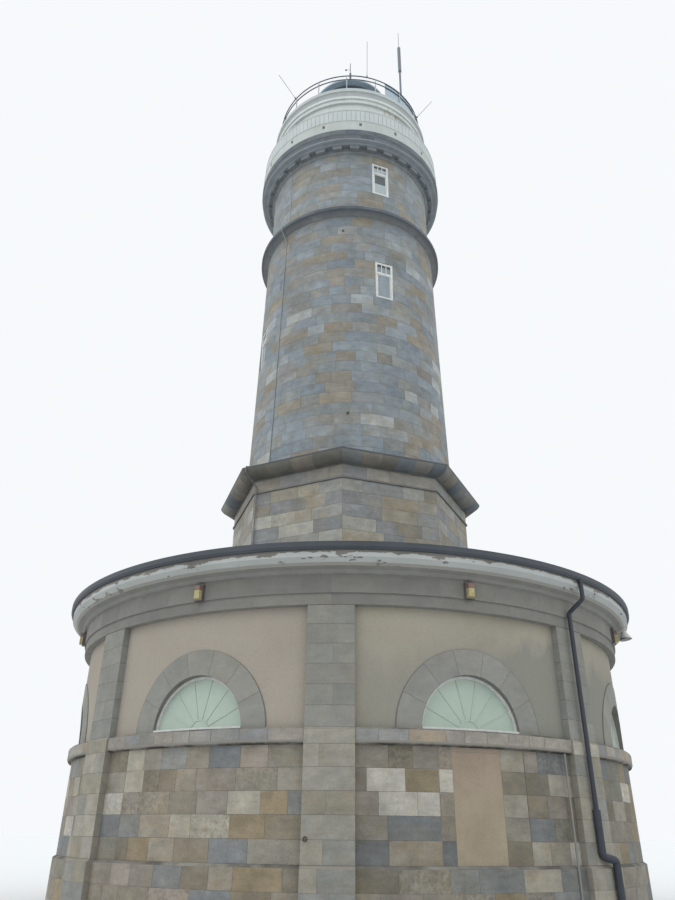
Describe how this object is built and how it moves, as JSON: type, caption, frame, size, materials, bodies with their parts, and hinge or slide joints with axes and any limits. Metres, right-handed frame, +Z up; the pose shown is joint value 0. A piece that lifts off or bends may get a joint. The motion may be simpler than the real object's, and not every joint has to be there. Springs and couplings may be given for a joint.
{
  "type": "lighthouse",
  "caption": "Stone lighthouse: round base building with half-round windows, octagonal foot, tapering shaft, white gallery and lantern.",
  "frame": {"origin": "the tower axis at ground level", "axes": "+Z up; -Y towards the front pilaster; +X to the right of the front"},
  "size_m": [14.7998, 14.7998, 31.81],
  "materials": {
    "ashlar": "dressed blocks",
    "dressed_stone": "smooth",
    "white_paint": "painted",
    "white_frame": "satin",
    "dark_metal": "satin",
    "roof_sheet": "matte",
    "clear_glass": "clear",
    "green_glass": "opaque",
    "door_wood": "painted",
    "amber_lens": "gloss",
    "copper": "weathered"
  },
  "bodies": {
    "root": {"aerial_mast": "dark_metal", "base_roof": "roof_sheet", "base_wall_back_left": "ashlar", "base_wall_back_right": "ashlar", "base_wall_front_left": "ashlar", "base_wall_front_right": "ashlar", "base_wall_left_back": "ashlar", "base_wall_left_front": "ashlar", "base_wall_right_back": "ashlar", "base_wall_right_front": "ashlar", "bell_lamp": "white_frame", "cordon": "ashlar", "cornice_blocks": "ashlar", "downpipe": "dark_metal", "eaves": "white_paint", "entablature": "dressed_stone", "entrance_door": "door_wood", "entrance_frame": "white_frame", "foot_cornice": "ashlar", "gallery_cornice": "ashlar", "gallery_deck": "white_paint", "gallery_parapet": "white_paint", "ground_floor": "dressed_stone", "gutter": "dark_metal", "lamp_housings": "dark_metal", "lamp_lenses": "amber_lens", "lantern_bars": "dark_metal", "lantern_drum": "white_paint", "lantern_glass": "clear_glass", "lantern_roof": "roof_sheet", "lantern_wall": "white_paint", "lightning_conductor": "copper", "lunette_frames": "white_frame", "lunette_glass": "green_glass", "pilasters": "dressed_stone", "railing_screen": "dark_metal", "roof_finial": "dark_metal", "shaft_back": "ashlar", "shaft_front": "ashlar", "shaft_left": "ashlar", "shaft_right": "ashlar", "tower_foot_back": "ashlar", "tower_foot_front": "ashlar", "tower_foot_left": "ashlar", "tower_foot_right": "ashlar", "tower_window_frames": "white_frame", "tower_window_glass": "clear_glass", "upper_deck": "white_paint", "upper_railing": "dark_metal", "wall_conduit": "copper", "watch_room_floor": "dressed_stone", "watch_room_wall_back": "ashlar", "watch_room_wall_front": "ashlar", "whip_aerials": "dark_metal", "window_arches": "dressed_stone"}
  },
  "joints": []
}
